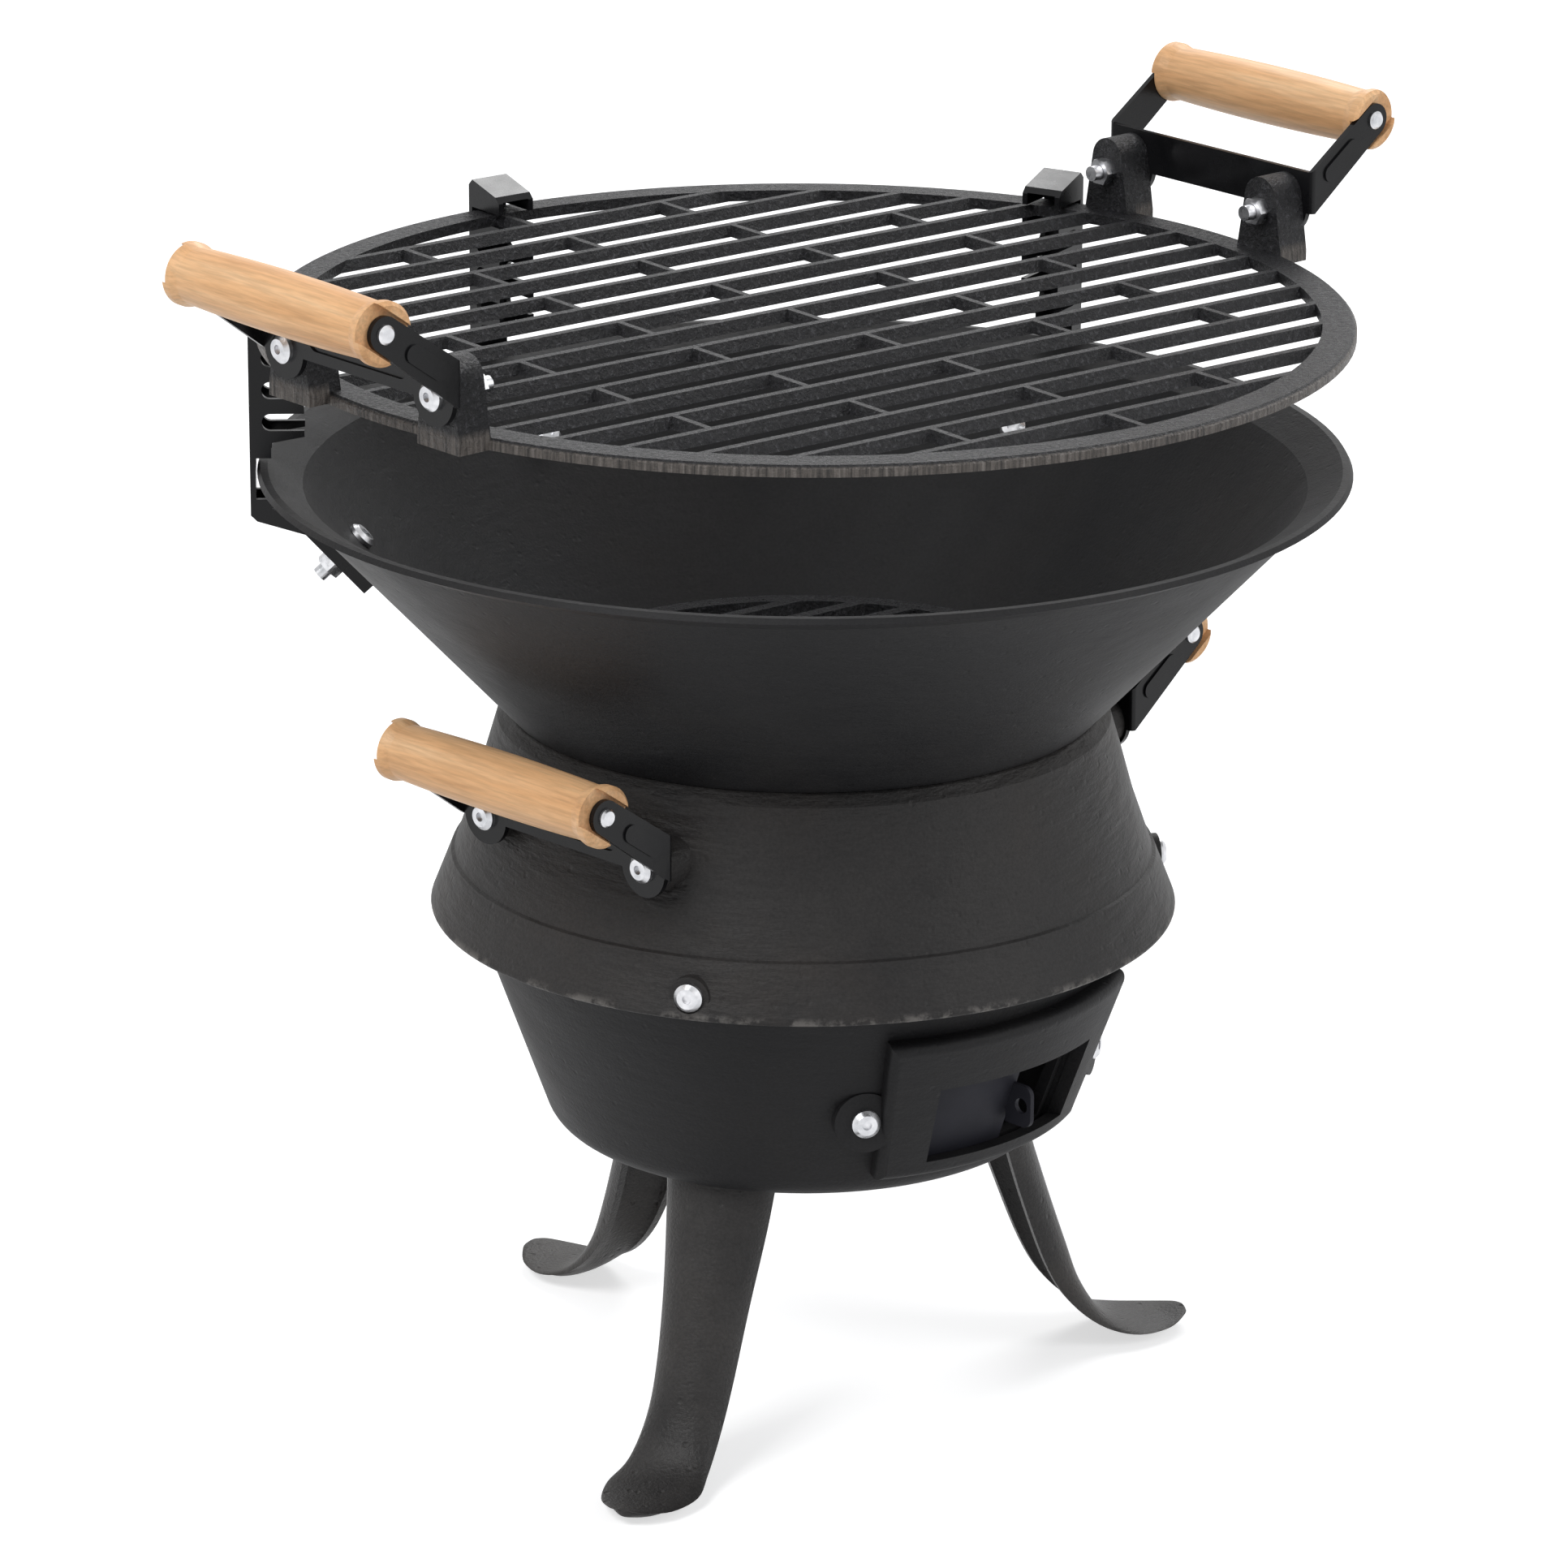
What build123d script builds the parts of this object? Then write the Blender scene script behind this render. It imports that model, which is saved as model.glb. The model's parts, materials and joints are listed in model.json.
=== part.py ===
from build123d import *
import math
import os

# Barrel grill: a cast pot on three feet, a bell-shaped barrel, a loose fire bowl,
# a charcoal grate, a cooking grate on three stepped brackets and four wood-grip handles.
# Millimetres and degrees. The vertical axis of the grill is Z and the ground is Z = 0.
# Azimuths run from +X towards +Y. The air vent faces -Y and a little to +X.

os.makedirs("parts", exist_ok=True)

# General clearances
cast_fit = 0.5          # between castings that lift apart
seat_gap = 0.3          # between curved faces of different moving bodies
bolt_clearance = 0.15   # around every bolt shank
sheet_fit = 0.15        # between a folded sheet and the piece it grips

# Lower pot
pot_floor_z = 94.5
pot_ref_z = 140.0
pot_ref_r = 98.0
pot_slope = 0.36
pot_wall = 4.0
pot_floor = 4.0
pot_corner = 11.0
pot_flange_bottom_z = 172.0
pot_top_z = 180.0
pot_flange_out = 2.8
pot_flange_width = 8.3
pot_flange_r = pot_ref_r + (pot_flange_bottom_z - pot_ref_z) * pot_slope + pot_flange_out
pot_flange_inner_r = pot_flange_r - pot_flange_width

# Upper barrel
skirt_lip_z = 168.0
skirt_lip_r = pot_flange_r + 9.7
skirt_top_z = 186.5
skirt_top_r = pot_flange_r + 2.4
skirt_step = 1.1
barrel_wall = 4.0
barrel_waist = (
    (205.0, pot_flange_r - 5.0),
    (220.0, pot_flange_r - 9.2),
    (232.5, pot_flange_r - 12.9),
)
neck_top_z = 236.6
neck_top_r = pot_flange_r - 16.7
neck_round = 2.5
neck_lip_height = 5.0

# Fire bowl: height and outer radius up the wall, then its rim
spigot_bottom_z = 222.0
spigot_r = neck_top_r - 9.1
spigot_wall = 4.5
ash_hole_r = spigot_r - spigot_wall
ledge_z = 240.2
bowl_ref_z = 240.0
bowl_ref_r = neck_top_r + 3.6
bowl_wall = 3.6
bowl_flare_z = 311.5
bowl_rim_z = 317.5
bowl_rim_r = 175.2
rim_flare = 9.5
rim_land = 3.4
rim_bevel = 1.0
bowl_slope = (bowl_rim_r - rim_flare - bowl_ref_r) / (bowl_flare_z - bowl_ref_z)

# Grates
bar_azimuth = 38.5
rim_over_grate = 0.2
cooking_grate_r = bowl_rim_r - rim_over_grate
cooking_grate_bottom_z = 361.4
cooking_grate_thickness = 3.6
cooking_rim = 11.0
cooking_pitch = 19.5
cooking_bar_top = 2.8
cooking_bar_base = 6.4
bridge_spacing = 106.0
bridge_top = 2.2
bridge_base = 4.6
ledge_width = 8.5
charcoal_grate_r = ash_hole_r + ledge_width
charcoal_grate_thickness = 4.0
charcoal_rim = 8.0
charcoal_pitch = 15.0
charcoal_bar_top = 4.6
charcoal_bar_base = 7.0
charcoal_bridge_spacing = 64.0
edge_round = 1.2

# Handles: one folded sheet bracket and one turned grip, used four times
sheet = 1.8
bolt_spacing = 72.0
ear_r = 9.5
strip_low = -1.5
strip_high = 12.5
bracket_half = 47.8
fold_round = 1.7
grip_out = 29.0
grip_up = 26.0
arm_tip_r = 5.5
recess_depth = 0.7
grip_length = 97.0
grip_end_r = 10.0
grip_waist_r = 9.0
grip_belly_r = 9.8
grip_bead = 3.5
grip_bevel = 1.2
grip_slot_width = 13.0
rivet_r = 2.3
rivet_head_r = 3.0
rivet_head = 1.4
grate_handle_azimuth = 42.0
grate_handle_distance = cooking_grate_r + 5.2
grate_handle_z = 378.5
barrel_handle_azimuth = 45.5
barrel_handle_gap = 0.6
barrel_handle_z = 213.5
boss_width = 14.0
boss_base = 20.0
boss_depth = 12.2
boss_over_bolt = 4.0
pad_r = 8.5

# Fasteners
bolt_r = 2.5
bolt_head_r = 4.6
bolt_head = 2.6
nut_across = 8.0
nut_height = 4.0
thread_out = 3.5
nut_land = 1.5          # a nut stands clear of the sloping wall behind it
screw_socket_r = 1.5
screw_socket = 1.0

# Grate support brackets
support_azimuths = (183.0, 127.5, 60.5)
support_names = ("left", "back_left", "back_right")
support_width = 14.0
support_sheet = 1.8
support_web_gap = 0.5
support_flange = 6.8
finger_reach = 17.5
finger_pitch = 10.5
finger_levels = 4
slot_height = 5.6
hook_height = 9.4
hook_tip_drop = 3.6
head_clear = 0.2        # under the bolt head, on the hollow side of the bowl
bend_round = 2.0        # corners of the folded sheet
support_bottom_z = 300.0
tail_length = 27.0
support_bolt_from_end = 13.0

# Legs
leg_names = ("front", "right", "left")
leg_azimuths = (-114.0, 19.5, 132.5)
leg_wall = 4.0
leg_flange = 9.0
leg_bulge = 5.0
leg_inner_bulge = 0.8        # share of the outer bulge that the inside follows
leg_top_width = 38.0
leg_knee_width = 32.0
leg_knee_z = 66.0
leg_knee_face_r = 84.0
leg_ankle_width = 27.5
leg_ankle_z = 26.0
leg_top_face_r = 75.5
leg_ankle_face_r = 96.5
foot_tip_r = leg_ankle_face_r + 41.5
foot_tip_half_width = 4.0
foot_tip_top_z = 6.0
foot_tip_low_z = 2.5
foot_wide_r = leg_ankle_face_r + 21.5
foot_half_width = 15.5
foot_instep_r = leg_ankle_face_r + 9.0
foot_instep_z = 12.0
foot_sole_from_r = leg_ankle_face_r + 15.5
foot_sole_to_r = foot_tip_r - 13.0
foot_thickness = 4.5
leg_pad_inner_r = 50.0
leg_pad_thickness = 4.5
leg_bolt_place = 60.0

# Vent frame and slider
frame_from = -75.0
frame_to = -17.0
frame_bottom_z = 103.7
frame_top_z = 155.5
frame_depth = 7.0
frame_front = 3.0
window_from = -65.0
window_to = -27.0
window_bottom_z = 109.0
window_top_z = 137.0
vent_open_from = -45.0
vent_open_to = -29.0
slider_edge = -44.6
slider_span = 22.0
slider_sheet = 1.6
slider_close = 16.5
slider_margin = 2.6
channel_margin = 3.2
channel_overrun = 1.5   # degrees past the plate at both ends of its travel
tab_height = 14.0
tab_out = 11.0
tab_hole_r = 2.6
frame_lug_azimuths = (-78.0, -13.6)
frame_lug_z = 126.0
frame_lug_r = 10.0
frame_lug_depth = 4.0

# Screws that hold the barrel on the pot
lip_screw_azimuths = (-107.2, 12.8, 132.8)
lip_screw_z = 175.3
lip_boss_r = 6.5
lip_boss_out = 0.4
lip_screw_short = 1.0   # the screw ends inside the pot flange


def direction(azimuth):
    angle = math.radians(azimuth)
    return Vector(math.cos(angle), math.sin(angle), 0)


def radial_plane(azimuth):
    """Sketch plane through the axis: x is outward, y is up."""
    out = direction(azimuth)
    return Plane(origin=(0, 0, 0), x_dir=out, z_dir=out.cross(Vector(0, 0, 1)))


def chord_plane(azimuth, distance, height):
    """Upright plane square to the azimuth: x is tangent, y is up, z is outward."""
    out = direction(azimuth)
    origin = out * distance + Vector(0, 0, height)
    return Plane(origin=origin, x_dir=Vector(0, 0, 1).cross(out), z_dir=out)


def pot_radius(height):
    return pot_ref_r + (height - pot_ref_z) * pot_slope


def bowl_radius(height):
    return bowl_ref_r + (height - bowl_ref_z) * bowl_slope


def barrel_radius(height):
    """Outer radius of the barrel between two of its waist points."""
    for (low, low_r), (high, high_r) in zip(barrel_waist[:-1], barrel_waist[1:]):
        if low <= height <= high:
            return low_r + (high_r - low_r) * (height - low) / (high - low)


def wall_plane(azimuth, point, normal):
    """Plane square to the bowl wall: x is tangent, z follows the normal."""
    out = direction(azimuth)
    up = Vector(0, 0, 1)
    return Plane(
        origin=out * point.X + up * point.Y,
        x_dir=up.cross(out),
        z_dir=out * normal.X + up * normal.Y,
    )


def wall_across(wall, slope):
    """Horizontal width of a wall of the given thickness on a cone."""
    return wall * math.sqrt(1 + slope**2)


def ring_band(azimuth_from, azimuth_to, inner, outer, low, high):
    """Closed outline of a conical band over the pot wall, to be revolved."""
    with BuildSketch(radial_plane(azimuth_from)) as band:
        with BuildLine():
            Polyline(
                (pot_radius(low) + inner, low),
                (pot_radius(low) + outer, low),
                (pot_radius(high) + outer, high),
                (pot_radius(high) + inner, high),
                close=True,
            )
        make_face()
    with BuildPart() as piece:
        revolve(band.sketch, axis=Axis.Z, revolution_arc=azimuth_to - azimuth_from)
    return piece.part


def slope_angle(base, top, height):
    """Side angle of a bar that narrows from its base to its top."""
    return math.degrees(math.atan2(height, (base - top) / 2))


# Fasteners, made once at the origin with the shank along -Z from under the head
def make_bolt(length):
    with BuildPart() as bolt:
        with BuildSketch():
            Circle(bolt_head_r)
        extrude(amount=bolt_head)
        top = bolt.faces().sort_by(Axis.Z)[-1]
        chamfer(top.edges(), bolt_head / 2)
        with BuildSketch(Plane.XY.offset(bolt_head)):
            Circle(screw_socket_r)
        extrude(amount=-screw_socket, mode=Mode.SUBTRACT)
        with BuildSketch():
            Circle(bolt_r)
        extrude(amount=-length)
    return bolt.part


def make_nut():
    with BuildPart() as nut:
        with BuildSketch():
            RegularPolygon(nut_across / 2, 6, major_radius=False)
            Circle(bolt_r + bolt_clearance, mode=Mode.SUBTRACT)
        extrude(amount=-nut_height)
    return nut.part


# Lower pot
skirt_slope = (skirt_lip_r - skirt_top_r) / (skirt_lip_z - skirt_top_z)
pot_wall_across = wall_across(pot_wall, pot_slope)
vent_z_middle = (window_bottom_z + window_top_z) / 2
with BuildPart() as lower_pot:
    with BuildSketch(Plane.XZ) as pot_section:
        with BuildLine():
            Polyline(
                (0, pot_floor_z),
                (pot_radius(pot_floor_z), pot_floor_z),
                (pot_radius(pot_flange_bottom_z), pot_flange_bottom_z),
                (pot_flange_r, pot_flange_bottom_z),
                (pot_flange_r, pot_top_z),
                (pot_flange_inner_r, pot_top_z),
                (pot_radius(pot_flange_bottom_z) - pot_wall_across, pot_flange_bottom_z - pot_wall),
                (pot_radius(pot_floor_z + pot_floor) - pot_wall_across, pot_floor_z + pot_floor),
                (0, pot_floor_z + pot_floor),
                close=True,
            )
        make_face()
        outer_corner = pot_section.vertices().sort_by_distance((pot_radius(pot_floor_z), pot_floor_z, 0))[0]
        fillet(outer_corner, pot_corner)
        inner_corner = pot_section.vertices().sort_by_distance(
            (pot_radius(pot_floor_z + pot_floor) - pot_wall_across, pot_floor_z + pot_floor, 0)
        )[0]
        fillet(inner_corner, pot_corner - pot_wall)
    revolve(axis=Axis.Z)
    add(
        ring_band(
            vent_open_from, vent_open_to, -2 * pot_wall_across, pot_wall, window_bottom_z, window_top_z
        ),
        mode=Mode.SUBTRACT,
    )
    for azimuth in lip_screw_azimuths:
        with BuildSketch(chord_plane(azimuth, pot_flange_inner_r - pot_wall, lip_screw_z)):
            Circle(bolt_r + bolt_clearance)
        extrude(amount=skirt_lip_r - pot_flange_inner_r + pot_wall, mode=Mode.SUBTRACT)
    for azimuth in frame_lug_azimuths:
        with BuildSketch(chord_plane(azimuth, pot_ref_r - 4 * pot_wall, frame_lug_z)):
            Circle(bolt_r + bolt_clearance)
        extrude(amount=6 * pot_wall, mode=Mode.SUBTRACT)
    for azimuth in leg_azimuths:
        with Locations(direction(azimuth) * leg_bolt_place + Vector(0, 0, pot_floor_z)):
            Cylinder(bolt_r + bolt_clearance, 4 * pot_floor, mode=Mode.SUBTRACT)
lower_pot.part.label = "lower_pot"
export_step(lower_pot.part, "parts/lower_pot.step")


# Upper barrel
barrel_handle_distance = barrel_radius(barrel_handle_z + strip_low) + barrel_handle_gap
barrel_seats = [
    chord_plane(barrel_handle_azimuth + turn, barrel_handle_distance, barrel_handle_z) for turn in (180, 0)
]
lip_screw_seat_r = skirt_lip_r + (lip_screw_z - skirt_lip_z) * skirt_slope + lip_boss_out
barrel_inner = [(height, radius - barrel_wall) for height, radius in barrel_waist]
with BuildPart() as upper_barrel:
    with BuildSketch(Plane.XZ) as barrel_outline:
        with BuildLine():
            Polyline(
                (0, skirt_lip_z),
                (skirt_lip_r, skirt_lip_z),
                (skirt_top_r, skirt_top_z),
                (skirt_top_r - skirt_step, skirt_top_z + skirt_step / 2),
                *[(radius, height) for height, radius in barrel_waist],
                (neck_top_r, neck_top_z),
                (0, neck_top_z),
                close=True,
            )
        make_face()
        neck_corner = barrel_outline.vertices().sort_by_distance((neck_top_r, neck_top_z, 0))[0]
        fillet(neck_corner, neck_round)
        lip_corner = barrel_outline.vertices().sort_by_distance((skirt_lip_r, skirt_lip_z, 0))[0]
        fillet(lip_corner, edge_round)
    revolve(axis=Axis.Z)
    for seat in barrel_seats:
        with BuildSketch(seat):
            with Locations((-bolt_spacing / 2, 0), (bolt_spacing / 2, 0)):
                Circle(pad_r)
        extrude(amount=-3 * pad_r)
    for azimuth in lip_screw_azimuths:
        with BuildSketch(chord_plane(azimuth, lip_screw_seat_r, lip_screw_z)):
            Circle(lip_boss_r)
        extrude(amount=-lip_boss_r)
        with BuildSketch(chord_plane(azimuth, lip_screw_seat_r, lip_screw_z)):
            Circle(bolt_head_r + cast_fit)
        extrude(amount=lip_boss_r, mode=Mode.SUBTRACT)
    with BuildSketch(Plane.XZ):
        with BuildLine():
            Polyline(
                (0, skirt_lip_z),
                (skirt_lip_r - barrel_wall, skirt_lip_z),
                (pot_flange_r + cast_fit, pot_top_z - barrel_wall),
                (pot_flange_r + cast_fit, pot_top_z),
                (pot_flange_r - barrel_wall, pot_top_z),
                *[(radius, height) for height, radius in barrel_inner[:-1]],
                (barrel_inner[-1][1] - pot_floor, neck_top_z - neck_lip_height),
                (spigot_r + cast_fit, neck_top_z - neck_lip_height),
                (spigot_r + cast_fit, neck_top_z),
                (0, neck_top_z),
                close=True,
            )
        make_face()
    revolve(axis=Axis.Z, mode=Mode.SUBTRACT)
    for seat in barrel_seats:
        with BuildSketch(seat):
            with Locations((-bolt_spacing / 2, 0), (bolt_spacing / 2, 0)):
                Circle(bolt_r + bolt_clearance)
        extrude(amount=-4 * pad_r, mode=Mode.SUBTRACT)
    for azimuth in lip_screw_azimuths:
        with BuildSketch(chord_plane(azimuth, pot_flange_r - barrel_wall, lip_screw_z)):
            Circle(bolt_r + bolt_clearance)
        extrude(amount=skirt_lip_r - pot_flange_r + barrel_wall, mode=Mode.SUBTRACT)
upper_barrel.part.label = "upper_barrel"
export_step(upper_barrel.part, "parts/upper_barrel.step")


# Legs: a channel that bulges outward and ends in a leaf-shaped foot
def leg_section(plane, width, face_r, bulge, flange):
    """Outline of the leg at one height: x is outward, y is across."""
    with BuildSketch(plane) as outline:
        with BuildLine():
            ThreePointArc((face_r - bulge, -width / 2), (face_r, 0), (face_r - bulge, width / 2))
            Polyline(
                (face_r - bulge, width / 2),
                (face_r - bulge - flange, width / 2),
                (face_r - bulge - flange, -width / 2),
                (face_r - bulge, -width / 2),
            )
        make_face()
    return outline.sketch


leg_levels = (
    (pot_floor_z, leg_top_width, leg_top_face_r),
    (leg_knee_z, leg_knee_width, leg_knee_face_r),
    (leg_ankle_z, leg_ankle_width, leg_ankle_face_r),
)
foot_heel_r = leg_ankle_face_r - leg_bulge - leg_flange
foot_top_z = leg_ankle_z + foot_thickness
heel_low_z = leg_ankle_z - foot_thickness / 2
with BuildPart() as foot:
    with BuildSketch(Plane.XZ):
        with BuildLine():
            ThreePointArc(
                (leg_ankle_face_r, foot_top_z),
                (foot_instep_r, foot_instep_z),
                (foot_tip_r, foot_tip_top_z),
            )
            Polyline(
                (foot_tip_r, foot_tip_top_z),
                (foot_tip_r, foot_tip_low_z),
                (foot_sole_to_r, 0),
                (foot_sole_from_r, 0),
            )
            ThreePointArc(
                (foot_sole_from_r, 0),
                (leg_ankle_face_r, foot_instep_z - foot_thickness),
                (foot_heel_r, heel_low_z),
            )
            Polyline(
                (foot_heel_r, heel_low_z),
                (foot_heel_r, foot_top_z),
                (leg_ankle_face_r, foot_top_z),
            )
        make_face()
    extrude(amount=foot_half_width, both=True)
    with BuildSketch():
        with BuildLine():
            for side in (1, -1):
                Line((foot_heel_r, side * leg_ankle_width / 2), (leg_ankle_face_r, side * leg_ankle_width / 2))
                ThreePointArc(
                    (leg_ankle_face_r, side * leg_ankle_width / 2),
                    (foot_wide_r, side * foot_half_width),
                    (foot_tip_r, side * foot_tip_half_width),
                )
            Line((foot_heel_r, -leg_ankle_width / 2), (foot_heel_r, leg_ankle_width / 2))
            Line((foot_tip_r, -foot_tip_half_width), (foot_tip_r, foot_tip_half_width))
        make_face()
    extrude(amount=2 * leg_ankle_z, mode=Mode.INTERSECT)

for name, azimuth in zip(leg_names, leg_azimuths):
    with BuildPart() as leg:
        loft(
            [
                leg_section(Plane.XY.offset(height), width, face, leg_bulge, leg_flange)
                for height, width, face in leg_levels
            ],
            ruled=True,
        )
        loft(
            [
                leg_section(
                    Plane.XY.offset(height),
                    width - 2 * leg_wall,
                    face - leg_wall,
                    leg_bulge * leg_inner_bulge,
                    3 * leg_flange,
                )
                for height, width, face in leg_levels
            ],
            ruled=True,
            mode=Mode.SUBTRACT,
        )
        add(foot.part)
        with BuildSketch(Plane.XY.offset(pot_floor_z)):
            with Locations(((leg_pad_inner_r + leg_top_face_r - leg_bulge) / 2, 0)):
                Rectangle(leg_top_face_r - leg_bulge - leg_pad_inner_r, leg_top_width - 2 * leg_wall)
        extrude(amount=-leg_pad_thickness)
        with Locations((leg_bolt_place, 0, pot_floor_z)):
            Cylinder(bolt_r + bolt_clearance, 4 * leg_pad_thickness, mode=Mode.SUBTRACT)
    turned = leg.part.rotate(Axis.Z, azimuth)
    turned.label = "leg_" + name
    export_step(turned, "parts/leg_" + name + ".step")

leg_bolt = make_bolt(pot_floor + leg_pad_thickness + nut_height + thread_out)
with BuildPart() as leg_bolts:
    with Locations(
        *[direction(a) * leg_bolt_place + Vector(0, 0, pot_floor_z + pot_floor) for a in leg_azimuths]
    ):
        add(leg_bolt)
leg_bolts.part.label = "leg_bolts"
export_step(leg_bolts.part, "parts/leg_bolts.step")

nut = make_nut()
with BuildPart() as leg_nuts:
    with Locations(
        *[direction(a) * leg_bolt_place + Vector(0, 0, pot_floor_z - leg_pad_thickness) for a in leg_azimuths]
    ):
        add(nut)
leg_nuts.part.label = "leg_nuts"
export_step(leg_nuts.part, "parts/leg_nuts.step")

# Screws through the skirt into the pot flange
lip_screw = make_bolt(lip_screw_seat_r - pot_flange_inner_r - lip_screw_short)
with BuildPart() as lip_screws:
    with Locations(*[chord_plane(a, lip_screw_seat_r, lip_screw_z) for a in lip_screw_azimuths]):
        add(lip_screw)
lip_screws.part.label = "lip_screws"
export_step(lip_screws.part, "parts/lip_screws.step")


# Vent frame with the channel and the window for the slider
channel_depth = slider_sheet + 2 * seat_gap
with BuildPart() as vent_frame:
    add(ring_band(frame_from, frame_to, 0, frame_depth, frame_bottom_z, frame_top_z))
    outer_face = vent_frame.faces().sort_by(SortBy.AREA)[-1]
    fillet(outer_face.edges(), frame_front)
    for azimuth in frame_lug_azimuths:
        reach = pot_radius(frame_lug_z) + frame_lug_depth
        with BuildSketch(chord_plane(azimuth, reach, frame_lug_z)):
            Circle(frame_lug_r)
        extrude(amount=-3 * frame_lug_depth)
        with BuildSketch(chord_plane(azimuth, reach, frame_lug_z)):
            Circle(bolt_head_r + 2 * bolt_clearance)
        extrude(amount=2 * frame_depth, mode=Mode.SUBTRACT)
        with BuildSketch(chord_plane(azimuth, reach, frame_lug_z)):
            Circle(bolt_r + bolt_clearance)
        extrude(amount=-6 * frame_lug_depth, mode=Mode.SUBTRACT)
    with BuildSketch(Plane.XZ):
        with BuildLine():
            Polyline(
                (0, frame_bottom_z - frame_depth),
                (pot_radius(frame_bottom_z - frame_depth), frame_bottom_z - frame_depth),
                (pot_radius(frame_top_z + frame_depth), frame_top_z + frame_depth),
                (0, frame_top_z + frame_depth),
                close=True,
            )
        make_face()
    revolve(axis=Axis.Z, mode=Mode.SUBTRACT)
    channel_low = window_bottom_z - channel_margin
    channel_high = window_top_z + channel_margin
    add(
        ring_band(
            slider_edge - slider_span - channel_overrun,
            slider_edge + slider_close + channel_overrun,
            -channel_depth,
            channel_depth,
            channel_low,
            channel_high,
        ),
        mode=Mode.SUBTRACT,
    )
    add(
        ring_band(window_from, window_to, -frame_depth, 2 * frame_depth, window_bottom_z, window_top_z),
        mode=Mode.SUBTRACT,
    )
vent_frame.part.label = "vent_frame"
export_step(vent_frame.part, "parts/vent_frame.step")

frame_screw = make_bolt(frame_lug_depth + pot_wall_across + nut_height + thread_out)
with BuildPart() as vent_frame_screws:
    with Locations(
        *[chord_plane(a, pot_radius(frame_lug_z) + frame_lug_depth, frame_lug_z) for a in frame_lug_azimuths]
    ):
        add(frame_screw)
vent_frame_screws.part.label = "vent_frame_screws"
export_step(vent_frame_screws.part, "parts/vent_frame_screws.step")

nut_seat_r = pot_radius(frame_lug_z - nut_across / 2) - pot_wall_across - sheet_fit
with BuildPart() as vent_frame_nuts:
    with Locations(*[chord_plane(a, nut_seat_r, frame_lug_z) for a in frame_lug_azimuths]):
        add(nut)
vent_frame_nuts.part.label = "vent_frame_nuts"
export_step(vent_frame_nuts.part, "parts/vent_frame_nuts.step")

# Vent slider: a curved plate in the channel with a finger tab at its edge
with BuildPart() as vent_slider:
    add(
        ring_band(
            slider_edge - slider_span,
            slider_edge,
            seat_gap,
            seat_gap + slider_sheet,
            window_bottom_z - slider_margin,
            window_top_z + slider_margin,
        )
    )
    tab_plane = radial_plane(slider_edge)
    tab_root = pot_radius(vent_z_middle) + seat_gap + slider_sheet / 2
    with BuildSketch(tab_plane) as tab:
        with Locations((tab_root + tab_out / 2, vent_z_middle)):
            RectangleRounded(tab_out, tab_height, slider_sheet * 2)
        with Locations((tab_root + slider_sheet * 1.5, vent_z_middle)):
            Rectangle(slider_sheet * 3, tab_height)
        with Locations((tab_root + tab_out * 0.62, vent_z_middle)):
            Circle(tab_hole_r, mode=Mode.SUBTRACT)
    extrude(amount=slider_sheet)
    add(
        ring_band(
            slider_edge - slider_span,
            slider_edge + slider_span,
            -3 * pot_wall,
            seat_gap,
            frame_bottom_z,
            frame_top_z,
        ),
        mode=Mode.SUBTRACT,
    )
vent_slider.part.label = "vent_slider"
export_step(vent_slider.part, "parts/vent_slider.step")


# Places that the support brackets share with the bowl
web_out_r = cooking_grate_r + support_web_gap + support_sheet
web_in_r = web_out_r - support_sheet
tip_r = web_out_r - finger_reach
flange_r = web_out_r - support_flange
hook_bottom_z = cooking_grate_bottom_z + cooking_grate_thickness + 3 * seat_gap
hook_top_z = hook_bottom_z + hook_height
hook_tip_z = hook_top_z - hook_tip_drop
lowest_finger_z = cooking_grate_bottom_z - (finger_levels - 1) * finger_pitch
wall_run = Vector(bowl_slope, 1, 0).normalized()
wall_out = Vector(wall_run.Y, -wall_run.X, 0)
tail_start = Vector(bowl_radius(support_bottom_z), support_bottom_z, 0)
tail_end = tail_start - wall_run * tail_length
web_start = tail_start + wall_out * support_flange
web_end = tail_end + wall_out * support_flange
bolt_point = web_end + wall_run * support_bolt_from_end
head_point = bolt_point - wall_out * (support_flange + bowl_wall + head_clear)


# Fire bowl
bowl_across = wall_across(bowl_wall, bowl_slope)
with BuildPart() as fire_bowl:
    with BuildSketch(Plane.XZ) as bowl_section:
        with BuildLine():
            Polyline(
                (spigot_r, spigot_bottom_z),
                (spigot_r, neck_top_z),
                (bowl_radius(neck_top_z), neck_top_z),
                (bowl_radius(bowl_flare_z), bowl_flare_z),
                (bowl_rim_r, bowl_rim_z - rim_land / 2),
                (bowl_rim_r - rim_bevel, bowl_rim_z),
                (bowl_rim_r - rim_land, bowl_rim_z),
                (bowl_radius(bowl_flare_z) - bowl_across, bowl_flare_z),
                (bowl_radius(ledge_z) - bowl_across, ledge_z),
                (ash_hole_r, ledge_z),
                (ash_hole_r, spigot_bottom_z),
                close=True,
            )
        make_face()
    revolve(axis=Axis.Z)
    for azimuth in support_azimuths:
        with BuildSketch(wall_plane(azimuth, bolt_point, wall_out)):
            Circle(bolt_r + bolt_clearance)
        extrude(amount=-3 * support_flange, mode=Mode.SUBTRACT)
fire_bowl.part.label = "fire_bowl"
export_step(fire_bowl.part, "parts/fire_bowl.step")


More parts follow.
